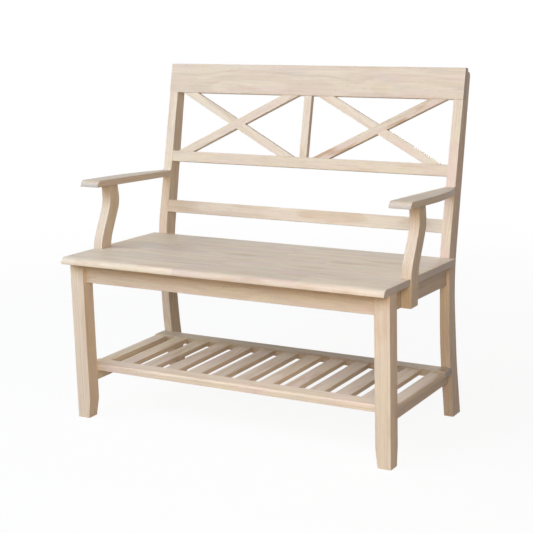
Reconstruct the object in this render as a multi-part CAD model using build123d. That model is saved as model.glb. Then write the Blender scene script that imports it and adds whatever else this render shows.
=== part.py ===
"""X-back bench: legs, raked posts, a sloping glued-up seat, S-shaped arm supports and a slatted shelf.

Millimetres. X runs along the bench, Y towards its back and Z up. While the pieces are made, y = 0 is the
front of the front legs; at the end the whole bench is moved so that the middle of its box is at y = 0.
Each piece of the right side is made once, and the left one is its mirror image.
"""
from build123d import *
import math
import os

# Seat
seat_height = 457.0              # top of the seat at its front edge
seat_side_overhang = 2.0         # how far each end of the seat stands out past the legs
seat_overhang = 34.6             # how far the seat stands out in front of the legs
seat_thickness = 18.0
seat_fall_share = 0.0265         # the seat falls by this share of its depth towards the back
seat_front_round = 15.0
seat_board_count = 6

# Front legs
inside_width = 863.0             # clear width between the legs, and between the posts
leg_size = 42.0
foot_taper = 5.7
foot_taper_height = 50.0
foot_taper_round = 70.0

# Rear posts: thickness across the bench, and the sawn outline seen from the side
post_thickness = 27.0
post_drop = 11.9                 # top of the posts below the top of the crest
post_front = 404.5               # from the front of the legs to the upright stretch of the posts
post_knee_round = 330.0
post_kick = 30.8                 # how far the foot kicks back
post_kick_height = 196.0
post_kick_round = 1200.0
post_foot_depth = 50.2
post_calf_depth = 48.3
post_calf_height = 153.6
post_calf_round = 1000.0
post_waist_depth = 34.6
post_waist_drop = 74.7           # the narrowest place, below the front edge of the seat
post_waist_round = 617.0
post_top_depth = 35.6
post_top_round = 12.0
back_rake_share = 0.2335         # the back leans by this share of its height above the seat

# Aprons under the seat
apron_thickness = 19.0
apron_height = 56.2
front_apron_setback = 13.3

# Back, with heights along its slope from the knee of the posts
lower_slat_level = 52.7
lower_slat_height = 35.7
mid_rail_level = 201.6
mid_rail_height = 30.7
crest_level = 403.0
crest_height = 83.7
crest_thickness = 17.0
crest_proud = 0.7                # the crest stands this much in front of the posts
back_rail_thickness = 19.0
back_setback = 1.0               # the rails of the back lie this much behind the fronts of the posts
stile_width = 23.0
brace_width = 24.0
brace_thickness = 15.0
brace_corner_gap = 18.0          # between a brace's nearest corner and the post or stile beside it

# Arms
arm_rise = 172.4                 # underside of the arm's front end above the front edge of the seat
arm_front = 86.6
arm_width = 59.0
arm_thickness = 17.5
arm_fall_share = 0.0565
arm_straight_length = 138.5      # the outer edge is straight for this far, then curves in to the post
arm_front_round = 15.5

# Arm supports, with the two bends of the S measured up from the seat's height
support_thickness = 28.0
support_front = 112.0
support_foot_depth = 42.5
support_low_bend = 16.0
support_low_lean = 4.7
support_low_depth = 44.7
support_high_bend = 115.0
support_step = 50.3              # how far the support steps back between its bends
support_high_depth = 44.5
support_top_depth = 38.0
support_top_lean = 1.5           # how far its top leans forward again
support_low_round = 100.0
support_high_round = 75.0

# Shelf
shelf_lap = 31.5                 # how far the shelf reaches past the inner faces of the legs
shelf_height = 127.0             # underside of the shelf
shelf_rail_width = 44.5
shelf_rail_thickness = 19.0
shelf_edge_round = 6.0
slat_count = 11
slat_width = 44.0
slat_thickness = 12.0
slat_drop = 3.0                  # tops of the slats below the tops of the shelf's rails
slat_shoulder = 3.0              # step from the faces of a slat to those of its tongues
end_board_width = 40.5
stretcher_height = 26.0
stretcher_thickness = 19.0

# Edges and joints
edge_ease = 1.5                  # small rounding of the long edges
fine_ease = 1.0
tenon_length = 18.0
stub_length = 8.0
shoulder = 4.5
joint_clearance = 0.2
block_leg = 50.0                 # corner block, along each apron
block_height = 36.0
block_screw_share = 0.4          # of the block's leg: how much of the block each screw passes through
seat_screw_share = 0.25          # of the block's leg: how far the seat's screw stands off each apron

# Screws and dowels
screw_radius = 2.0
screw_head_radius = 4.0
screw_head_depth = 3.0
screw_grip = 12.0                # how far each screw holds in the piece it ends in
dowel_radius = 4.0
dowel_length = 24.0
fine_dowel_radius = 3.0
fine_dowel_length = 20.0
hole_clearance = 0.1
support_screw_shares = (0.25, 0.7)   # of the apron's height, up from its bottom
crest_dowel_shares = (0.25, 0.65)    # of the crest's height, up from its bottom
overrun = 60.0                   # how far cutting shapes run past what they cut

# Places that follow from the sizes above
seat_tilt = math.atan(seat_fall_share)
arm_tilt = math.atan(arm_fall_share)
back_tilt = math.atan(back_rake_share)
inside = inside_width / 2
leg_outside = inside + leg_size
post_outside = inside + post_thickness
post_middle = inside + post_thickness / 2
apron_outside = inside + apron_thickness
seat_half = leg_outside + seat_side_overhang
shelf_half = inside + shelf_lap
post_height = seat_height + (crest_level + crest_height) * math.cos(back_tilt) - post_drop
post_waist_height = seat_height - post_waist_drop
arm_height = seat_height + arm_rise
seat_depth = (post_front + seat_overhang) / math.cos(seat_tilt)

X_WAY = (1, 0, 0)
seat_plane = Plane(
    origin=(0, -seat_overhang, seat_height),
    x_dir=X_WAY,
    z_dir=(0, math.sin(seat_tilt), math.cos(seat_tilt)),
)
back_plane = Plane(
    origin=(0, post_front, seat_height),
    x_dir=X_WAY,
    z_dir=(0, -math.cos(back_tilt), math.sin(back_tilt)),
)
arm_plane = Plane(
    origin=(0, arm_front, arm_height),
    x_dir=X_WAY,
    z_dir=(0, math.sin(arm_tilt), math.cos(arm_tilt)),
)


def under_seat(y):
    """Height of the seat's underside at a depth y."""
    top = seat_height - seat_fall_share * (y + seat_overhang)
    return top - seat_thickness / math.cos(seat_tilt)


def under_arm(y):
    """Height of the arm's underside at a depth y."""
    return arm_height - arm_fall_share * (y - arm_front)


def support_face(z, rear):
    """Depth of the arm support's front (rear = 0) or rear (rear = 1) face at a height z below its bends."""
    base = under_seat(support_front) - apron_height
    up = (z - base) / (seat_height + support_low_bend - base)
    widening = support_low_depth - support_foot_depth
    return support_front + support_low_lean * up + rear * (support_foot_depth + widening * up)


def back_face(z):
    """Depth of the straight front face of the raked back at a height z."""
    return post_front + back_rake_share * (z - seat_height)


def kicked_face(z):
    """Depth of the post's front face at a height z in the kick, with the sag of its round stretch."""
    kick_tilt = math.atan(post_kick / post_kick_height)
    round_start = post_kick_height - post_kick_round * math.tan(kick_tilt / 2)
    sag = max(0, z - round_start) ** 2 / (2 * post_kick_round)
    return post_front + post_kick * (1 - z / post_kick_height) + sag


def block(x, y, z):
    """A box between three (low, high) pairs."""
    sizes = [high - low for low, high in (x, y, z)]
    middles = [(high + low) / 2 for low, high in (x, y, z)]
    return Pos(*middles) * Box(*sizes)


def grown(x, y, z):
    """The pocket for a tenon: its box with the joint's clearance all round."""
    pairs = [(low - joint_clearance, high + joint_clearance) for low, high in (x, y, z)]
    return block(*pairs)


def prism(plane, outline, depth, rounds=None):
    """A closed outline on a plane, pushed out along the plane's normal."""
    if rounds is None:
        edge = Polyline(*outline, close=True)
    else:
        edge = FilletPolyline(*outline, radius=rounds, close=True)
    return extrude(plane * make_face(edge), amount=depth)


def side_prism(outline, x, rounds=None):
    """An outline of (y, z) points, between two places along the bench."""
    return prism(Plane.YZ.offset(x[0]), outline, x[1] - x[0], rounds)


def front_prism(outline, y, rounds=None):
    """An outline of (x, z) points, between two depths."""
    return prism(Plane.XZ.offset(-y[1]), outline, y[1] - y[0], rounds)


def mirrored(solid):
    """The same piece for the other side of the bench."""
    return mirror(solid, about=Plane.YZ)


def rises(edge):
    """True for an edge that runs mostly upwards."""
    return abs(edge.start_point().Z - edge.end_point().Z) > edge.length / 2


def across(edge):
    """True for an edge that runs along the bench."""
    return abs(edge.start_point().X - edge.end_point().X) > edge.length / 2


def top_long_edges(solid):
    """The top edges that run along the bench, from the front one to the rear one."""
    return solid.edges().filter_by(Axis.X).group_by(Axis.Z)[-1].sort_by(Axis.Y)


def below_seat(solid):
    """Cut a piece off at the underside of the seat."""
    wide = (-seat_half - overrun, seat_half + overrun)
    deep = (-seat_depth, seat_depth * 2)
    return solid - seat_plane * block(wide, deep, (-seat_thickness, seat_height))


def screw_shape(length, slack=0.0):
    """A countersunk screw that points down from z = 0; with slack it is the hole for one."""
    head = Pos(0, 0, -screw_head_depth / 2) * Cone(
        screw_radius + slack, screw_head_radius + slack, screw_head_depth
    )
    shank = Pos(0, 0, -length / 2) * Cylinder(screw_radius + slack, length + slack * 2)
    return head + shank


def aimed(point, way):
    """A place whose downward axis points along way."""
    return Plane(origin=point, z_dir=tuple(-part for part in way)).location


def screw_set(places, length):
    """Screws at (point, way) places: the solids, and the holes with a counterbore behind each head."""
    screws = [aimed(*place) * screw_shape(length) for place in places]
    bore = Cylinder(
        screw_head_radius + hole_clearance,
        screw_head_radius * 2,
        align=(Align.CENTER, Align.CENTER, Align.MIN),
    )
    holes = [aimed(*place) * (screw_shape(length, hole_clearance) + bore) for place in places]
    return screws, holes


def dowel_set(places, radius, length):
    """Dowels centred on their (point, way) places: the solids, and their holes."""
    dowels = [aimed(*place) * Cylinder(radius, length) for place in places]
    holes = [
        aimed(*place) * Cylinder(radius + hole_clearance, length + hole_clearance * 2) for place in places
    ]
    return dowels, holes


def less(solid, cuts):
    """A piece with a list of pockets or holes taken out of it."""
    for cut in cuts:
        solid = solid - cut
    return solid


def both(places):
    """The places on the right, and their mirror images on the left."""
    left = [((-p[0], p[1], p[2]), (-w[0], w[1], w[2])) for p, w in places]
    return places + left


# Tenons of the right side, as (x, y, z) pairs
front_apron_bottom = under_seat(front_apron_setback) - apron_height
front_apron_tenon = (
    (inside, inside + tenon_length),
    (front_apron_setback + shoulder, front_apron_setback + apron_thickness - shoulder),
    (front_apron_bottom + shoulder, under_seat(leg_size) - shoulder),
)
rear_apron_bottom = under_seat(post_front) - apron_height
rear_apron_tenon = (
    (inside, inside + tenon_length),
    (post_front + stub_length + joint_clearance * 4, post_front + apron_thickness - shoulder / 2),
    (rear_apron_bottom + shoulder, rear_apron_bottom + apron_height - shoulder * 2),
)
side_tenon_across = (inside + shoulder, inside + apron_thickness - shoulder)
side_apron_front_tenon = (
    side_tenon_across,
    (leg_size - stub_length, leg_size + shoulder),
    (under_seat(leg_size) - apron_height + shoulder, under_seat(leg_size) - shoulder),
)
side_apron_rear_tenon = (
    side_tenon_across,
    (post_front - shoulder, post_front + stub_length),
    (rear_apron_bottom + shoulder * 2, rear_apron_bottom + apron_height - shoulder),
)
stretcher_base = shelf_height - stretcher_height
stretcher_tenon_heights = (stretcher_base + shoulder, shelf_height - shoulder)
stretcher_front_tenon = (
    side_tenon_across,
    (leg_size - stub_length, leg_size + shoulder),
    stretcher_tenon_heights,
)
stretcher_rear = kicked_face(shelf_height)
stretcher_rear_tenon = (
    side_tenon_across,
    (stretcher_rear - shoulder, stretcher_rear + tenon_length),
    stretcher_tenon_heights,
)

# Tenons of the back's rails, as (x, height along the slope, distance in front of the posts)
back_tenon_depths = (-back_setback - back_rail_thickness + shoulder, -back_setback - shoulder)
mid_rail_tenon = (
    (inside, inside + tenon_length),
    (mid_rail_level + shoulder, mid_rail_level + mid_rail_height - shoulder),
    back_tenon_depths,
)
lower_slat_tenon = (
    (inside, inside + tenon_length),
    (lower_slat_level + shoulder, lower_slat_level + lower_slat_height - shoulder),
    back_tenon_depths,
)

# The X panels: the middle of the right one, and how far its braces run to each side of that, so that their
# corners keep their gap to the post and the stile whatever the panel's size
panel_base = mid_rail_level + mid_rail_height
panel_rise = (crest_level - panel_base) / 2
panel_middle = (stile_width / 2 + inside) / 2
brace_reach = inside - panel_middle - brace_corner_gap
brace_spread = brace_width / 2 / panel_rise
brace_square = 1 - brace_spread ** 2
brace_diagonal = math.sqrt(brace_reach ** 2 + brace_square * panel_rise ** 2)
brace_run = (brace_reach - brace_spread * brace_diagonal) / brace_square

# The shelf: its rails and the slats between them
shelf_top = shelf_height + shelf_rail_thickness
shelf_rear = kicked_face(shelf_top)
slat_front = leg_size + shelf_rail_width
slat_rear = shelf_rear - shelf_rail_width
shelf_rail_heights = (shelf_height, shelf_top)
slat_heights = (shelf_top - slat_drop - slat_thickness, shelf_top - slat_drop)
slats_inside = shelf_half - end_board_width
slat_gap = (slats_inside * 2 - slat_width * slat_count) / (slat_count + 1)
slat_lefts = [-slats_inside + slat_gap + (slat_width + slat_gap) * i for i in range(slat_count)]
tongue_heights = (slat_heights[0] + slat_shoulder, slat_heights[1] - slat_shoulder)


def tongue(x):
    """The tongue that runs through a slat of the shelf and into both rails."""
    ends = (x[0] + shoulder, x[1] - shoulder)
    return (ends, (slat_front - stub_length, slat_rear + stub_length), tongue_heights)


# Screws and dowels: (point, way) places of the right side first
block_screw_reach = block_leg * block_screw_share
block_screw_length = block_screw_reach + screw_grip - screw_head_radius


def block_screw_places(corner, toward):
    """The two screws of the block in the corner at depth corner; toward is the way to its apron."""
    base = under_seat(corner) - block_height
    near = block_leg - block_screw_reach
    seat_side = inside - block_screw_reach + screw_head_radius
    apron_side = corner - toward * (block_screw_reach - screw_head_radius)
    return [
        ((seat_side, corner - toward * near, base + block_height / 3), (1, 0, 0)),
        ((inside - near, apron_side, base + block_height * 2 / 3), (0, toward, 0)),
    ]


front_corner = front_apron_setback + apron_thickness
block_screws, block_holes = screw_set(
    both(block_screw_places(front_corner, -1) + block_screw_places(post_front, 1)),
    block_screw_length,
)
seat_screw_inset = block_leg * seat_screw_share
seat_screw_spots = (front_corner + seat_screw_inset, post_front - seat_screw_inset)
seat_screws, seat_holes = screw_set(
    both([
        ((inside - seat_screw_inset, y, under_seat(corner) - block_height), (0, 0, 1))
        for y, corner in zip(seat_screw_spots, (front_corner, post_front))
    ]),
    block_height + screw_grip,
)
support_base = under_seat(support_front) - apron_height
support_screws, support_holes = screw_set(
    both([
        ((inside, support_front + support_foot_depth / 2, support_base + apron_height * share), (1, 0, 0))
        for share in support_screw_shares
    ]),
    apron_thickness + screw_grip,
)
shelf_screws, shelf_holes = screw_set(
    both([
        ((inside + stretcher_thickness / 2, y, stretcher_base), (0, 0, 1))
        for y in (slat_front - shelf_rail_width / 2, slat_rear + shelf_rail_width / 2)
    ]),
    stretcher_height + screw_grip,
)

support_top_front = support_front + support_low_lean + support_step - support_top_lean
support_top_middle = support_top_front + support_top_depth / 2
arm_end_height = under_arm(post_front) + arm_thickness / 3
arm_end = back_face(arm_end_height)
arm_dowels, arm_dowel_holes = dowel_set(
    both([
        (
            (apron_outside + support_thickness / 2, support_top_middle, under_arm(support_top_middle)),
            (0, 0, 1),
        ),
        ((post_middle, arm_end, arm_end_height), (0, math.cos(arm_tilt), -math.sin(arm_tilt))),
    ]),
    dowel_radius,
    dowel_length,
)


def on_back(x, height, front):
    """A point on the raked back, from its place across, its height up the slope and its distance in front."""
    return tuple(back_plane.from_local_coords(Vector(x, height, front)))


back_normal = tuple(back_plane.z_dir)
up_the_back = tuple(back_plane.y_dir)
crest_back = crest_proud - crest_thickness
crest_dowels, crest_dowel_holes = dowel_set(
    both([
        (on_back(post_middle, crest_level + crest_height * share, crest_back), back_normal)
        for share in crest_dowel_shares
    ]),
    dowel_radius,
    dowel_length,
)
brace_middle = -back_setback - brace_thickness / 2
brace_end_places = [
    (on_back(x, height, brace_middle), up_the_back)
    for x in (panel_middle - brace_run, panel_middle + brace_run)
    for height in (panel_base, crest_level)
]
stile_end_places = [(on_back(0, height, brace_middle), up_the_back) for height in (panel_base, crest_level)]
back_dowels, back_dowel_holes = dowel_set(
    both(brace_end_places) + stile_end_places,
    fine_dowel_radius,
    fine_dowel_length,
)


def front_leg():
    """A square leg, cut to the slope of the seat, with its two inner faces tapered at the foot."""
    seen_from_side = side_prism(
        [
            (0, 0),
            (leg_size - foot_taper, 0),
            (leg_size, foot_taper_height),
            (leg_size, under_seat(leg_size)),
            (0, under_seat(0)),
        ],
        (inside, leg_outside),
        (0, 0, foot_taper_round, 0, 0),
    )
    seen_from_front = front_prism(
        [
            (inside + foot_taper, 0),
            (leg_outside, 0),
            (leg_outside, seat_height),
            (inside, seat_height),
            (inside, foot_taper_height),
        ],
        (0, leg_size),
        (0, 0, 0, 0, foot_taper_round),
    )
    leg = seen_from_side & seen_from_front
    leg = fillet(leg.edges().filter_by(rises), edge_ease)
    tenons = (front_apron_tenon, side_apron_front_tenon, stretcher_front_tenon)
    return less(leg, [grown(*tenon) for tenon in tenons])


def post_blank():
    """A rear post as it is sawn, before the crest's lap and the mortises are cut."""
    calf_front = post_front + post_kick * (1 - post_calf_height / post_kick_height)
    outline = [
        (post_front + post_kick, 0),
        (post_front + post_kick + post_foot_depth, 0),
        (calf_front + post_calf_depth, post_calf_height),
        (post_front + post_waist_depth, post_waist_height),
        (back_face(post_height) + post_top_depth, post_height),
        (back_face(post_height), post_height),
        (post_front, seat_height),
        (post_front, post_kick_height),
    ]
    rounds = (
        0, 0, post_calf_round, post_waist_round, post_top_round, 0, post_knee_round, post_kick_round,
    )
    post = side_prism(outline, (inside, post_outside), rounds)
    return fillet(post.edges().filter_by(lambda edge: rises(edge) and not across(edge)), edge_ease)


def rear_post():
    """A rear post with the lap for the crest, its mortises and its dowel holes."""
    lap = back_plane * block(
        (inside - overrun, post_outside + overrun),
        (crest_level, crest_level + crest_height + overrun),
        (crest_back, overrun),
    )
    mortises = [
        grown(*rear_apron_tenon),
        grown(*side_apron_rear_tenon),
        grown(*stretcher_rear_tenon),
        back_plane * grown(*mid_rail_tenon),
        back_plane * grown(*lower_slat_tenon),
    ]
    return less(post_blank(), [lap] + mortises + crest_dowel_holes + arm_dowel_holes)


def seat_panel():
    """The whole seat, with a round front edge, notched for the arm supports."""
    panel = block((-seat_half, seat_half), (0, seat_depth), (-seat_thickness, 0))
    panel = fillet(top_long_edges(panel)[0], seat_front_round)
    sharp = [edge for edge in panel.edges() if not across(edge)]
    sharp += panel.edges().filter_by(Axis.X).group_by(Axis.Z)[0] + [top_long_edges(panel)[-1]]
    panel = fillet(sharp, edge_ease)
    panel = seat_plane * panel
    notch_front = support_face(under_seat(support_front), 0) - joint_clearance
    notch_rear = support_face(seat_height, 1) + joint_clearance
    notch = block(
        (apron_outside - joint_clearance, seat_half + overrun),
        (notch_front, notch_rear),
        (seat_height - overrun, seat_height + overrun),
    )
    return less(panel, [notch, mirrored(notch)] + seat_holes)


def seat_boards():
    """The seat sawn along its glue lines into its boards, from the front to the rear."""
    panel = seat_panel()
    board_depth = seat_depth / seat_board_count
    boards = []
    for number in range(seat_board_count):
        strip = seat_plane * block(
            (-seat_half - overrun, seat_half + overrun),
            (board_depth * number, board_depth * (number + 1)),
            (-seat_thickness - overrun, overrun),
        )
        boards.append(panel & strip)
    return boards


def front_apron():
    """The rail under the front edge of the seat, with a tenon at each end."""
    rail = block(
        (-inside, inside),
        (front_apron_setback, front_corner),
        (front_apron_bottom, seat_height),
    )
    rail = fillet(rail.edges().filter_by(Axis.X).group_by(Axis.Z)[0], edge_ease)
    tenon = block(*front_apron_tenon)
    return less(below_seat(rail) + tenon + mirrored(tenon), block_holes)


def rear_apron():
    """The rail between the posts, behind the rear edge of the seat."""
    rail = block(
        (-inside, inside),
        (post_front, post_front + apron_thickness),
        (rear_apron_bottom, rear_apron_bottom + apron_height),
    )
    rail = fillet(rail.edges().filter_by(Axis.X), edge_ease)
    tenon = block(*rear_apron_tenon)
    return less(rail + tenon + mirrored(tenon), block_holes)


def side_apron():
    """The rail under the side of the seat, parallel to it, from the leg to the post."""
    rail = side_prism(
        [
            (leg_size, under_seat(leg_size) - apron_height),
            (post_front, under_seat(post_front) - apron_height),
            (post_front, under_seat(post_front)),
            (leg_size, under_seat(leg_size)),
        ],
        (inside, apron_outside),
    )
    rail = rail + block(*side_apron_front_tenon) + block(*side_apron_rear_tenon)
    return less(rail, block_holes + support_holes)


def corner_block(corner, toward):
    """A three-cornered block glued and screwed between two aprons, under the seat."""
    outline = [
        (inside, corner),
        (inside - block_leg, corner),
        (inside, corner - toward * block_leg),
    ]
    base = under_seat(corner) - block_height
    solid = prism(Plane.XY.offset(base), outline, block_height * 2)
    return less(below_seat(solid), block_holes + seat_holes)


def arm_support():
    """The S-shaped support, square in section, that stands on the side apron and carries the arm."""
    low = seat_height + support_low_bend
    high = seat_height + support_high_bend
    low_front = support_front + support_low_lean
    high_front = low_front + support_step
    top_rear = support_top_front + support_top_depth
    outline = [
        (support_front, support_base),
        (support_front + support_foot_depth, support_base),
        (low_front + support_low_depth, low),
        (high_front + support_high_depth, high),
        (top_rear, under_arm(top_rear)),
        (support_top_front, under_arm(support_top_front)),
        (high_front, high),
        (low_front, low),
    ]
    low_turn, high_turn = support_low_round, support_high_round
    rounds = (0, 0, low_turn, high_turn, 0, 0, high_turn, low_turn)
    support = side_prism(outline, (apron_outside, apron_outside + support_thickness), rounds)
    support = fillet(support.edges().filter_by(lambda edge: rises(edge) and not across(edge)), edge_ease)
    return less(support, support_holes + arm_dowel_holes)


def arm():
    """A flat arm: straight inside, curved in to the post's width outside, with a round front end."""
    outer = inside + arm_width
    slope_length = (arm_end - arm_front) / math.cos(arm_tilt)
    rear = slope_length + post_thickness
    outline = [
        Line((inside, 0), (outer, 0)),
        Line((outer, 0), (outer, arm_straight_length)),
        TangentArc((outer, arm_straight_length), (post_outside, slope_length), tangent=(0, 1)),
        Line((post_outside, slope_length), (post_outside, rear)),
        Line((post_outside, rear), (inside, rear)),
        Line((inside, rear), (inside, 0)),
    ]
    slab = extrude(make_face(outline), amount=arm_thickness)
    slab = fillet(top_long_edges(slab)[0], arm_front_round)
    bottom_front = slab.edges().filter_by(Axis.X).group_by(Axis.Z)[0].sort_by(Axis.Y)[0]
    in_front = slope_length - post_thickness
    sides = [edge for edge in slab.edges() if edge.center().Y < in_front and not across(edge)]
    slab = fillet(sides + [bottom_front], edge_ease)
    behind_back = back_plane * block(
        (0, seat_half + overrun),
        (0, post_height),
        (-post_front, 0),
    )
    return less(arm_plane * slab - behind_back, arm_dowel_holes)


def back_rail(level, height, tenon):
    """A rail of the back between the posts, with a tenon at each end."""
    rail = block(
        (-inside, inside),
        (level, level + height),
        (-back_setback - back_rail_thickness, -back_setback),
    )
    rail = fillet(rail.edges().filter_by(Axis.X), edge_ease)
    rail = rail + block(*tenon) + mirrored(block(*tenon))
    return less(back_plane * rail, back_dowel_holes)


def crest_rail():
    """The top rail, lapped on the fronts of both posts."""
    rail = block(
        (-post_outside, post_outside),
        (crest_level, crest_level + crest_height),
        (crest_back, crest_proud),
    )
    rail = fillet(rail.edges().filter_by(Axis.X), edge_ease)
    return less(back_plane * rail, crest_dowel_holes + back_dowel_holes)


def centre_stile():
    """The upright between the two X panels."""
    stile = block(
        (-stile_width / 2, stile_width / 2),
        (panel_base, crest_level),
        (-back_setback - brace_thickness, -back_setback),
    )
    stile = fillet(stile.edges().filter_by(Axis.Y), fine_ease)
    return less(back_plane * stile, back_dowel_holes)


def brace(middle, way):
    """A whole brace before it is halved; way is 1 if it rises to the right and -1 if it falls."""
    half_end = brace_reach - brace_run
    foot = middle - way * brace_run
    head = middle + way * brace_run
    outline = [
        (foot - half_end, panel_base),
        (foot + half_end, panel_base),
        (head + half_end, crest_level),
        (head - half_end, crest_level),
    ]
    bar = prism(Plane.XY.offset(-back_setback - brace_thickness), outline, brace_thickness)
    return fillet(bar.edges().filter_by(lambda edge: edge.length > crest_level - panel_base), fine_ease)


def braces(middle):
    """The two braces of an X panel, halved into each other, the rising one in front."""
    rising = brace(middle, 1)
    falling = brace(middle, -1)
    wide = (-inside, inside)
    tall = (0, crest_level + crest_height)
    front_half = block(wide, tall, (brace_middle, brace_middle + brace_thickness))
    rear_half = block(wide, tall, (brace_middle - brace_thickness, brace_middle))
    rising_cut = rising - (falling & rear_half)
    falling_cut = falling - (rising & front_half)
    return [less(back_plane * bar, back_dowel_holes) for bar in (rising_cut, falling_cut)]


def shelf_rail(y):
    """A rail of the shelf, over its full width, with a pocket for the tongue of each slat."""
    rail = block((-shelf_half, shelf_half), y, shelf_rail_heights)
    outer = rail.edges().group_by(Axis.Z)[-1]
    slats_in_front = y[0] > slat_front
    inner = outer.filter_by(Axis.X).sort_by(Axis.Y)[0 if slats_in_front else -1]
    rail = fillet([edge for edge in outer if edge != inner], shelf_edge_round)
    slats = [(left, left + slat_width) for left in slat_lefts]
    slats += [(-shelf_half, -slats_inside), (slats_inside, shelf_half)]
    return less(rail, [grown(*tongue(x)) for x in slats] + shelf_holes)


def shelf_slat(x):
    """A slat of the shelf, from rail to rail, with a tongue at each end."""
    slat = block(x, (slat_front, slat_rear), slat_heights)
    slat = fillet(slat.edges().filter_by(Axis.Y).group_by(Axis.Z)[-1], edge_ease)
    return slat + block(*tongue(x))


def shelf_end_board():
    """The outer slat on the right, with its outer top edge rounded like the rails'."""
    x = (slats_inside, shelf_half)
    board = block(x, (slat_front, slat_rear), slat_heights)
    edges = board.edges().filter_by(Axis.Y).group_by(Axis.Z)[-1].sort_by(Axis.X)
    board = fillet(edges[-1], shelf_edge_round)
    edges = board.edges().filter_by(Axis.Y).group_by(Axis.Z)[-1].sort_by(Axis.X)
    board = fillet(edges[0], edge_ease)
    return board + block(*tongue(x))


def side_stretcher():
    """The rail under the end of the shelf, from the leg to the post, shaped to the post's kick."""
    rail = block(
        (inside, inside + stretcher_thickness),
        (leg_size, post_front + post_kick),
        (stretcher_base, shelf_height),
    )
    rail = rail - post_blank()
    rail = rail + block(*stretcher_front_tenon) + block(*stretcher_rear_tenon)
    return less(rail, shelf_holes)


def make_pieces():
    """Every piece of the bench by its name."""
    pieces = {}

    def pair(name, solid):
        pieces[name + "_right"] = solid
        pieces[name + "_left"] = mirrored(solid)

    pair("front_leg", front_leg())
    pair("rear_post", rear_post())
    pair("side_apron", side_apron())
    pair("corner_block_front", corner_block(front_corner, -1))
    pair("corner_block_rear", corner_block(post_front, 1))
    pair("arm_support", arm_support())
    pair("arm", arm())
    pair("side_stretcher", side_stretcher())
    pair("shelf_end_board", shelf_end_board())
    pieces["front_apron"] = front_apron()
    pieces["rear_apron"] = rear_apron()
    for number, board in enumerate(seat_boards(), start=1):
        pieces[f"seat_board_{number}"] = board
    pieces["crest_rail"] = crest_rail()
    pieces["mid_rail"] = back_rail(mid_rail_level, mid_rail_height, mid_rail_tenon)
    pieces["lower_back_slat"] = back_rail(lower_slat_level, lower_slat_height, lower_slat_tenon)
    pieces["centre_stile"] = centre_stile()
    for side, middle in (("left", -panel_middle), ("right", panel_middle)):
        rising, falling = braces(middle)
        pieces[side + "_panel_rising_brace"] = rising
        pieces[side + "_panel_falling_brace"] = falling
    pieces["shelf_front_rail"] = shelf_rail((leg_size, slat_front))
    pieces["shelf_rear_rail"] = shelf_rail((slat_rear, shelf_rear))
    for number, left in enumerate(slat_lefts, start=1):
        pieces[f"shelf_slat_{number:02d}"] = shelf_slat((left, left + slat_width))
    pieces["corner_block_screws"] = Compound(block_screws)
    pieces["seat_screws"] = Compound(seat_screws)
    pieces["support_screws"] = Compound(support_screws)
    pieces["shelf_screws"] = Compound(shelf_screws)
    pieces["arm_dowels"] = Compound(arm_dowels)
    pieces["crest_dowels"] = Compound(crest_dowels)
    pieces["back_dowels"] = Compound(back_dowels)
    return pieces


pieces = make_pieces()
boxes = [piece.bounding_box() for piece in pieces.values()]
middle_depth = (min(box.min.Y for box in boxes) + max(box.max.Y for box in boxes)) / 2
os.makedirs("parts", exist_ok=True)
for name, piece in pieces.items():
    export_step(Pos(0, -middle_depth, 0) * piece, f"parts/{name}.step")
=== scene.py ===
import math
import random

import bmesh
import bpy
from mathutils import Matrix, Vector


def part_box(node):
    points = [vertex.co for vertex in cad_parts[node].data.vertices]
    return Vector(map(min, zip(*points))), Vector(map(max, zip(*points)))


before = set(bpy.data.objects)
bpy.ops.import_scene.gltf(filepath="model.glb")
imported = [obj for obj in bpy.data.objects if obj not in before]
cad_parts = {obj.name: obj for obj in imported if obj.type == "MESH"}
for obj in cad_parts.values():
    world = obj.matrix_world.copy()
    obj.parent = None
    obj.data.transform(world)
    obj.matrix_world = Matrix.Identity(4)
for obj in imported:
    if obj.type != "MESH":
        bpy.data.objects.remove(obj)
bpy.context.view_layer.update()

# Front legs: two square legs of bare rubberwood, sawn and sanded, tapered at the foot on their inner faces.
# The seat is screwed down on them through corner blocks, and the aprons and stretchers are tenoned into them.
# Every other piece of the bench is of the same wood, so what makes that wood is defined here.


class Value:
    """A number, colour or vector inside a material, so that maths on it reads as plain Python."""

    def __init__(self, recipe, socket):
        self.recipe = recipe
        self.socket = socket

    def maths(self, operation, first, second):
        return self.recipe.node("ShaderNodeMath", {"operation": operation}, {0: first, 1: second})

    def __add__(self, other):
        return self.maths("ADD", self, other)

    def __radd__(self, other):
        return self.maths("ADD", other, self)

    def __sub__(self, other):
        return self.maths("SUBTRACT", self, other)

    def __rsub__(self, other):
        return self.maths("SUBTRACT", other, self)

    def __mul__(self, other):
        return self.maths("MULTIPLY", self, other)

    def __rmul__(self, other):
        return self.maths("MULTIPLY", other, self)

    def __pow__(self, other):
        return self.maths("POWER", self, other)

    def __abs__(self):
        return self.maths("ABSOLUTE", self, 0.0)

    def floor(self):
        return self.maths("FLOOR", self, 0.0)

    def between(self, low, high):
        """0 below low, 1 above high, and a soft step in between."""
        sockets = {"Value": self, "From Min": low, "From Max": high}
        return self.recipe.node("ShaderNodeMapRange", {"interpolation_type": "SMOOTHSTEP"}, sockets)


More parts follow.
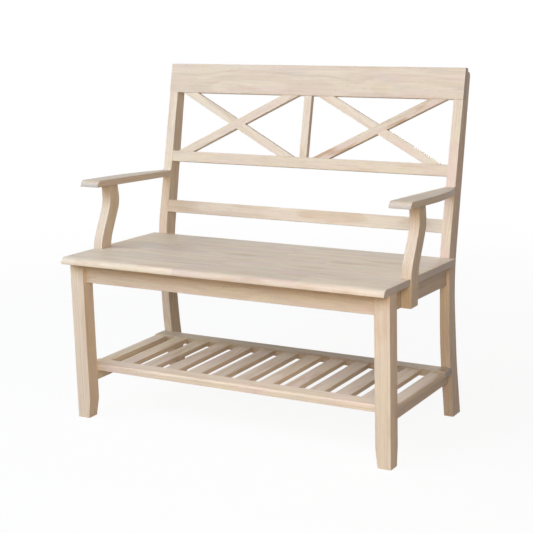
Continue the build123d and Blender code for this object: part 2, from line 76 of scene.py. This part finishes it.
class Recipe:
    """The nodes of one material or of the world, and the one way in which a node is added to them."""

    def __init__(self, holder):
        holder.use_nodes = True
        self.tree = holder.node_tree
        self.tree.nodes.clear()

    def node(self, kind, settings=None, sockets=None, out=0):
        """A new node: its settings, the values or links of its sockets, and which output it gives."""
        made = self.tree.nodes.new(kind)
        for key, setting in (settings or {}).items():
            setattr(made, key, setting)
        for key, value in (sockets or {}).items():
            if isinstance(value, Value):
                self.tree.links.new(value.socket, made.inputs[key])
            else:
                made.inputs[key].default_value = value
        return Value(self, made.outputs[out]) if made.outputs else None

    def noise(self, x, y, z, detail=2.0, rough=0.5):
        """Soft noise around 0.5, with its three places already scaled."""
        sockets = {"Vector": self.vector(x, y, z), "Scale": 1.0, "Detail": detail, "Roughness": rough}
        return self.node("ShaderNodeTexNoise", None, sockets)

    def lines(self, place, detail=1.0, rough=0.55):
        """The same kind of noise along one number."""
        sockets = {"W": place, "Scale": 1.0, "Detail": detail, "Roughness": rough}
        return self.node("ShaderNodeTexNoise", {"noise_dimensions": "1D"}, sockets)

    def vector(self, x, y, z):
        return self.node("ShaderNodeCombineXYZ", None, {0: x, 1: y, 2: z})

    def along(self, place, way):
        """How far a place lies along a way."""
        return self.node("ShaderNodeVectorMath", {"operation": "DOT_PRODUCT"}, {0: place, 1: tuple(way)}, "Value")

    def mix(self, share, first, second, blend="MIX"):
        """Two colours mixed by a share. The sockets go by number, because their names repeat in this node."""
        share_socket, first_socket, second_socket, mixed_socket = 0, 6, 7, 2
        settings = {"data_type": "RGBA", "blend_type": blend}
        sockets = {share_socket: share, first_socket: first, second_socket: second}
        return self.node("ShaderNodeMix", settings, sockets, mixed_socket)


def paint(red, green, blue):
    """A colour as it shows on a screen, in steps of 255, turned into light."""
    screen_lift = 0.055
    screen_curve = 2.4
    light = [((part / 255 + screen_lift) / (1 + screen_lift)) ** screen_curve for part in (red, green, blue)]
    return (*light, 1.0)


# The colours in the wood
early_wood = paint(233, 219, 199)
late_wood = paint(211, 188, 162)
pink_wood = paint(229, 206, 193)
straw_wood = paint(226, 213, 184)
ash_wood = paint(217, 206, 192)
heart_wood = paint(201, 168, 134)
pore_brown = paint(150, 120, 92)
end_grain = paint(203, 195, 189)

# How many marks of each kind lie in a metre, along the fibres, across the board and through it
fibre_pace = (8.0, 330.0, 330.0)
fine_pace = (40.0, 1300.0, 1300.0)
pore_pace = (55.0, 480.0, 480.0)
pink_pace = (5.0, 42.0, 30.0)
straw_pace = (7.0, 34.0, 34.0)
ash_pace = (9.0, 30.0, 26.0)
heart_pace = (8.0, 42.0, 34.0)

# Where in its noise each kind of mark starts to show, and where it shows fully
late_step = (0.47, 0.68)
band_step = (0.36, 0.70)
pink_step = (0.46, 0.66)
straw_step = (0.50, 0.70)
ash_step = (0.54, 0.70)
heart_step = (0.54, 0.72)
pore_step = (0.62, 0.74)
end_step = (0.72, 0.95)

# How much of the early wood each kind of mark covers where it shows fully
late_share = 0.52
band_share = 0.30
straw_share = 0.50
ash_share = 0.40
pore_share = 0.18
end_share = 0.85

# How much the fibres, the fine fibres and the straw patches lighten and darken the wood
fibre_shade = 0.32
fine_shade = 0.08
straw_shade = 0.10

# The log: where along it a board may start, its growth rings and the broad bands of them, and how its pith
# lies and wanders, in metres
log_starts = (3.0, 9.0)
ring_spacing = 0.0044
ring_detail = 1.5
bands_to_a_ring = 0.22
band_skip = 3
pith_aside = 0.045
pith_deeper = 0.03
wander_along = 2.2
wander_across = 3.0

# The lengths that a jointed board is glued up from, and how each differs from the next
stave_length = 0.36
finger_depth = 0.006
finger_pitch = 0.0075
finger_origin = 1.0
stave_skip = 1.7
stave_aside = 0.05
stave_tone = 0.09

# The sanded surface: its gloss, and how far fibres stand up and pores and late wood lie low
sanded_roughness = 0.48
fibre_roughness = 0.12
pore_roughness = 0.1
wood_specular = 0.42
fibre_height = 0.6
fine_height = 0.25
pore_depth = 0.9
late_depth = 0.15
grain_strength = 0.55
grain_bump = 0.00012
random.seed(1842)


def rubberwood(name, grain, face, middle, tone=0.0, figure=1.0, pink=0.55, heart=0.25, pith=0.07, sway=0.03,
               jointed=False):
    """Bare sanded rubberwood: growth rings round a pith beside the board, fibres, pores and soft stains.

    grain is the way the fibres run, face the way the wide face looks and middle the piece's centre. figure is
    how strongly the rings show, pink how far the wood blushes, heart how much brown heartwood there is, pith
    how far the pith lies behind the face and sway how far it wanders. A jointed board is glued up from
    finger-jointed lengths, each of its own tone and blush.
    """
    grain = Vector(grain).normalized()
    face = Vector(face)
    face = (face - grain * face.dot(grain)).normalized()
    cross = grain.cross(face)
    material = bpy.data.materials.new(name)
    recipe = Recipe(material)
    here = recipe.node("ShaderNodeTexCoord", out="Object")
    start = random.uniform(*log_starts)
    length = recipe.along(here, grain) + start
    depth = recipe.along(here, face) - face.dot(middle)
    width = recipe.along(here, cross) - cross.dot(middle)
    shade = 1.0 + tone
    beside = width + random.uniform(-pith_aside, pith_aside)
    if jointed:
        sockets = {0: width + finger_origin, 1: finger_pitch / 2}
        tooth = recipe.node("ShaderNodeMath", {"operation": "PINGPONG"}, sockets)
        stave = ((length + tooth * (finger_depth / finger_pitch * 2)) * (1 / stave_length)).floor()
        length = length + stave * stave_skip
        stave = recipe.node("ShaderNodeTexWhiteNoise", {"noise_dimensions": "1D"}, {"W": stave})
        beside = beside + (stave - 0.5) * stave_aside
        shade = (stave - 0.5) * stave_tone + shade
        pink = (1.0 - stave) * (pink * 2)

    def marks(pace, detail=2.0, rough=0.5, shift=0.0):
        """Noise drawn out along the fibres. The shift keeps one kind of mark from lying on another."""
        along, across, through = pace
        place = length * along + shift if shift else length * along
        return recipe.noise(place, width * across, depth * through, detail, rough)

    # Growth rings: how far the fibre lies from a pith that wanders slowly along the log
    wander = (recipe.noise(length * wander_along, width * wander_across, start) - 0.5) * sway
    level = depth + (pith + random.uniform(0.0, pith_deeper))
    radius = (level ** 2.0 + beside ** 2.0) ** 0.5 + wander
    rings = recipe.lines(radius * (1 / ring_spacing) + start, ring_detail)
    bands = recipe.lines(radius * (bands_to_a_ring / ring_spacing) + start * band_skip)
    late = rings.between(*late_step) * (late_share * figure) + bands.between(*band_step) * (band_share * figure)

    # Fibres and pores run with the grain; stains lie along it in long soft patches
    fibre = marks(fibre_pace, detail=3.0, rough=0.6)
    fine = marks(fine_pace, rough=0.6)
    pores = marks(pore_pace, detail=1.0).between(*pore_step)
    straw = marks(straw_pace)
    blush = marks(pink_pace, shift=4.0)
    ash = marks(ash_pace, shift=8.0)
    stain = marks(heart_pace, shift=2.0)
    colour = recipe.mix(late, early_wood, late_wood)
    colour = recipe.mix(blush.between(*pink_step) * pink, colour, pink_wood)
    colour = recipe.mix(straw.between(*straw_step) * straw_share, colour, straw_wood)
    colour = recipe.mix(ash.between(*ash_step) * ash_share, colour, ash_wood)
    colour = recipe.mix(stain.between(*heart_step) * heart, colour, heart_wood)
    colour = recipe.mix(pores * pore_share, colour, pore_brown)

    # Ends cut across the fibres drink the light
    looks = recipe.node("ShaderNodeTexCoord", out="Normal")
    ends = abs(recipe.along(looks, grain)).between(*end_step)
    colour = recipe.mix(ends * end_share, colour, end_grain)
    shade = (fibre - 0.5) * fibre_shade + (fine - 0.5) * fine_shade + (straw - 0.5) * straw_shade + shade
    colour = recipe.mix(1.0, colour, recipe.vector(shade, shade, shade), "MULTIPLY")

    height = fibre * fibre_height + fine * fine_height - pores * pore_depth - late * late_depth
    relief = {"Strength": grain_strength, "Distance": grain_bump, "Height": height}
    sockets = {
        "Base Color": colour,
        "Roughness": sanded_roughness + (fibre - 0.5) * fibre_roughness + pores * pore_roughness,
        "Normal": recipe.node("ShaderNodeBump", None, relief),
        "Specular IOR Level": wood_specular,
    }
    shader = recipe.node("ShaderNodeBsdfPrincipled", None, sockets)
    recipe.node("ShaderNodeOutputMaterial", None, {"Surface": shader})
    return material


def dress(node, grain, face, **more):
    """Give a piece its own cut of rubberwood."""
    low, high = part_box(node)
    middle = (Vector(low) + Vector(high)) / 2
    wood = rubberwood(node + "_wood", grain, face, middle, **more)
    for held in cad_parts[node].material_slots:
        held.material = wood


rightward = (1, 0, 0)
upward = (0, 0, 1)
for side in ("left", "right"):
    looks = {"tone": 0.06, "figure": 0.7, "pink": 0.35, "pith": 0.11, "sway": 0.008}
    dress("front_leg_" + side, grain=upward, face=rightward, **looks)

# Rear posts: one sawn plank each, from the floor to the crest, kicked back at the foot and raked above the
# seat. The fibres run straight up the plank while the sawn edges curve across them.
plank_lean = 0.1
for side, blush_share in (("left", 0.45), ("right", 1.1)):
    looks = {"pink": blush_share, "pith": 0.10, "sway": 0.02}
    dress("rear_post_" + side, grain=(0, plank_lean, 1), face=rightward, **looks)

# Aprons: rails tenoned between the legs and posts, under the seat, which falls a little to the rear. The
# four corner blocks are glued and screwed behind them.
forward = (0, -1, 0)
rearward = (0, 1, 0)
seat_fall_share = 0.0265
dress("front_apron", grain=rightward, face=forward, tone=0.09, figure=0.7)
dress("rear_apron", grain=rightward, face=rearward)
for side, out in (("left", -1), ("right", 1)):
    dress("side_apron_" + side, grain=(0, 1, -seat_fall_share), face=(out, 0, 0), tone=-0.12)
    for end in ("front", "rear"):
        dress(f"corner_block_{end}_{side}", grain=rightward, face=upward, tone=-0.04)

# Seat: six finger-jointed boards glued edge to edge and sanded flat, each of its own tone and with more
# brown heart than the frame. Its front edge is a quarter round, and it is notched for the arm supports.
board_tones = (0.0, -0.02, 0.01, -0.025, 0.005, -0.015)
for number, board_tone in enumerate(board_tones, start=1):
    looks = {"tone": board_tone, "figure": 0.6, "pink": 0.8, "heart": 0.42}
    dress(f"seat_board_{number}", grain=rightward, face=upward, jointed=True, **looks)

# Arm supports: S-shaped, square in section, sawn from one plank so that the fibres cut across the bends.
# They stand in the notches of the seat, screwed to the side aprons.
support_lean = 0.2
for side in ("left", "right"):
    looks = {"tone": -0.07, "pink": 0.4, "pith": 0.12, "sway": 0.01}
    dress("arm_support_" + side, grain=(0, support_lean, 1), face=rightward, **looks)

# Arms: flat boards with a quarter round across the front end, straight inside and curved in to the posts
# outside. They lie on dowels in the supports and are dowelled to the posts.
arm_fall_share = 0.0565
for side in ("left", "right"):
    dress("arm_" + side, grain=(0, 1, -arm_fall_share), face=upward, tone=-0.08)

# Back: a wide crest lapped on the posts, two rails tenoned between them, a stile, and two X panels whose
# braces are halved into each other, all lying in the rake of the posts. One brace is rosier than the rest.
back_rake_share = 0.2335
up_the_back = Vector((0, back_rake_share, 1)).normalized()
front_of_back = Vector((0, -1, back_rake_share)).normalized()
brace_rise_share = 0.515
dress("crest_rail", grain=rightward, face=front_of_back, tone=-0.08, figure=0.8, pith=0.075, sway=0.045)
dress("mid_rail", grain=rightward, face=front_of_back, tone=-0.05)
dress("lower_back_slat", grain=rightward, face=front_of_back, tone=-0.05)
dress("centre_stile", grain=up_the_back, face=front_of_back, tone=-0.04, pink=1.0)
for side in ("left", "right"):
    for name, rise in (("rising", brace_rise_share), ("falling", -brace_rise_share)):
        run = Vector(rightward) + up_the_back * rise
        rosy = (side, name) == ("right", "rising")
        looks = {"tone": -0.09, "pink": 1.0, "heart": 1.0} if rosy else {"tone": -0.03, "pink": 0.9}
        dress(f"{side}_panel_{name}_brace", grain=run, face=front_of_back, **looks)

# Shelf: two long rails with slats tongued between them and a plain board at each end, standing on two
# stretchers. The slats are cut from odd lengths, so tone and blush vary from one to the next.
dress("shelf_front_rail", grain=rightward, face=upward, tone=0.10, pink=0.8)
# The rear rail is given a darker, browner tone than the rest of the shelf as painted shade: it stands for the
# shadow that the seat casts on the back of the shelf.
dress("shelf_rear_rail", grain=rightward, face=upward, tone=-0.28, heart=0.5)
slat_count = 11
least_blush = 0.5
blush_steps = 7
blush_stride = 5
for number in range(1, slat_count + 1):
    slat_tone = random.uniform(-0.09, 0.11)
    slat_blush = least_blush + number * blush_stride % blush_steps / blush_steps
    looks = {"tone": slat_tone, "figure": 1.2, "pink": slat_blush, "heart": 0.45}
    dress(f"shelf_slat_{number:02d}", grain=rearward, face=upward, **looks)
for side, out in (("left", -1), ("right", 1)):
    dress("shelf_end_board_" + side, grain=rearward, face=upward, tone=-0.01, pink=0.8)
    dress("side_stretcher_" + side, grain=rearward, face=(out, 0, 0))

# Dowels and screws: hidden inside the joints. The dowels are turned from the same wood. The screws are zinc
# plated steel, and only their heads show, in the corner blocks, in the side aprons and under the stretchers.
dress("arm_dowels", grain=upward, face=rearward, tone=-0.05)
dress("crest_dowels", grain=front_of_back, face=rightward, tone=-0.05)
dress("back_dowels", grain=up_the_back, face=rightward, tone=-0.05)
bright_zinc = paint(200, 201, 203)
dull_zinc = paint(210, 203, 186)
zinc_pace = 260.0
zinc_step = (0.4, 0.65)
zinc_roughness = 0.3
zinc_dulling = 0.2
zinc_plate = bpy.data.materials.new("zinc_plate")
recipe = Recipe(zinc_plate)
here = recipe.node("ShaderNodeTexCoord", out="Object")
cast = recipe.node("ShaderNodeTexNoise", None, {"Vector": here, "Scale": zinc_pace, "Detail": 2.0})
sockets = {
    "Base Color": recipe.mix(cast.between(*zinc_step), bright_zinc, dull_zinc),
    "Metallic": 1.0,
    "Roughness": zinc_roughness + cast * zinc_dulling,
}
shader = recipe.node("ShaderNodeBsdfPrincipled", None, sockets)
recipe.node("ShaderNodeOutputMaterial", None, {"Surface": shader})
for name in ("corner_block_screws", "seat_screws", "support_screws", "shelf_screws"):
    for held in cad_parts[name].material_slots:
        held.material = zinc_plate

# Studio floor: a plain sheet of white paper that glows softly, keeps the soft shadow of the bench and fades
# to pure white further out. The light that it throws back on the bench is dim and warm.
floor_half = 30.0
fade_start = 1.1
fade_end = 3.2
near_whiteness = 0.92
pure_white = (1.0, 1.0, 1.0, 1.0)
paper_bounce = (0.41, 0.30, 0.21, 1.0)
floor_mesh = bpy.data.meshes.new("floor")
made = bmesh.new()
bmesh.ops.create_grid(made, x_segments=1, y_segments=1, size=floor_half)
made.to_mesh(floor_mesh)
made.free()
floor = bpy.data.objects.new("floor", floor_mesh)
bpy.context.scene.collection.objects.link(floor)


def looked_at(recipe):
    """1 for what is seen straight, in a mirror or through glass, and 0 for the light that lights things."""
    rays = ("Is Camera Ray", "Is Glossy Ray", "Is Transmission Ray")
    camera, glossy, through = (recipe.node("ShaderNodeLightPath", out=ray) for ray in rays)
    either = recipe.node("ShaderNodeMath", {"operation": "MAXIMUM"}, {0: camera, 1: glossy})
    return recipe.node("ShaderNodeMath", {"operation": "MAXIMUM"}, {0: either, 1: through})


paper = bpy.data.materials.new("studio_paper")
recipe = Recipe(paper)
here = recipe.node("ShaderNodeTexCoord", out="Object")
away = recipe.node("ShaderNodeVectorMath", {"operation": "LENGTH"}, {0: here}, "Value")
whiteness = near_whiteness + away.between(fade_start, fade_end) * (1 - near_whiteness)
seen = looked_at(recipe)
matt = recipe.node("ShaderNodeBsdfDiffuse", None, {"Color": recipe.mix(seen, paper_bounce, pure_white)})
glow = recipe.node("ShaderNodeEmission", None, {"Color": pure_white, "Strength": 1.0})
shader = recipe.node("ShaderNodeMixShader", None, {0: seen * whiteness, 1: matt, 2: glow})
recipe.node("ShaderNodeOutputMaterial", None, {"Surface": shader})
floor_mesh.materials.append(paper)

# Studio light: three large soft boxes, a cool one in front, one to the left and a weaker one to the right, a
# small warm one close by on the right, a low one behind, and a very weak warm light all round.
wall_colour = (1.0, 0.70, 0.44, 1.0)
wall_strength = 0.03
studio = bpy.data.worlds.new("studio")
bpy.context.scene.world = studio
recipe = Recipe(studio)
walls = recipe.node("ShaderNodeBackground", None, {"Color": wall_colour, "Strength": wall_strength})
white = recipe.node("ShaderNodeBackground", None, {"Color": pure_white, "Strength": 1.0})
shader = recipe.node("ShaderNodeMixShader", None, {0: looked_at(recipe), 1: walls, 2: white})
recipe.node("ShaderNodeOutputWorld", None, {"Surface": shader})
bench_middle = Vector((0, 0, 0.45))


def soft_box(name, turn, height, size, power, colour, reach=5.6):
    """A square soft lamp, turned so many degrees to the left of the bench's front and raised so many."""
    turn, height = math.radians(turn), math.radians(height)
    way = Vector((-math.sin(turn) * math.cos(height), -math.cos(turn) * math.cos(height), math.sin(height)))
    lamp = bpy.data.lights.new(name, "AREA")
    lamp.shape = "SQUARE"
    lamp.size = size
    lamp.energy = power
    lamp.color = colour
    box = bpy.data.objects.new(name, lamp)
    box.location = bench_middle + way * reach
    box.rotation_euler = way.to_track_quat("Z", "Y").to_euler()
    bpy.context.scene.collection.objects.link(box)


soft_box("front_box", turn=18, height=38, size=3.6, power=185.0, colour=(0.585, 0.743, 1.0))
soft_box("left_box", turn=60, height=30, size=3.6, power=143.0, colour=(0.985, 1.0, 0.895))
soft_box("right_box", turn=-40, height=30, size=3.6, power=74.0, colour=(1.0, 0.90, 0.95))
soft_box("near_box", turn=-32, height=17, size=0.9, power=11.0, colour=(1.0, 0.79, 0.42), reach=2.2)
soft_box("rear_box", turn=173, height=2, size=1.2, power=125.0, colour=(1.0, 0.97, 0.93))

# Camera: where the photograph was taken from, to the right of the bench and a little above its arms.
photo_width = 533
focal_pixels = 1352.44
sensor_width = 36.0
camera_place = (1.7772, -3.0769, 1.2043)
camera_turns = (77.457, 1.529, 29.779)
lens = bpy.data.cameras.new("camera")
lens.sensor_width = sensor_width
lens.lens = focal_pixels / photo_width * sensor_width
camera = bpy.data.objects.new("camera", lens)
camera.location = camera_place
camera.rotation_euler = [math.radians(turn) for turn in camera_turns]
bpy.context.scene.collection.objects.link(camera)
bpy.context.scene.camera = camera
bpy.context.scene.view_settings.view_transform = "Standard"
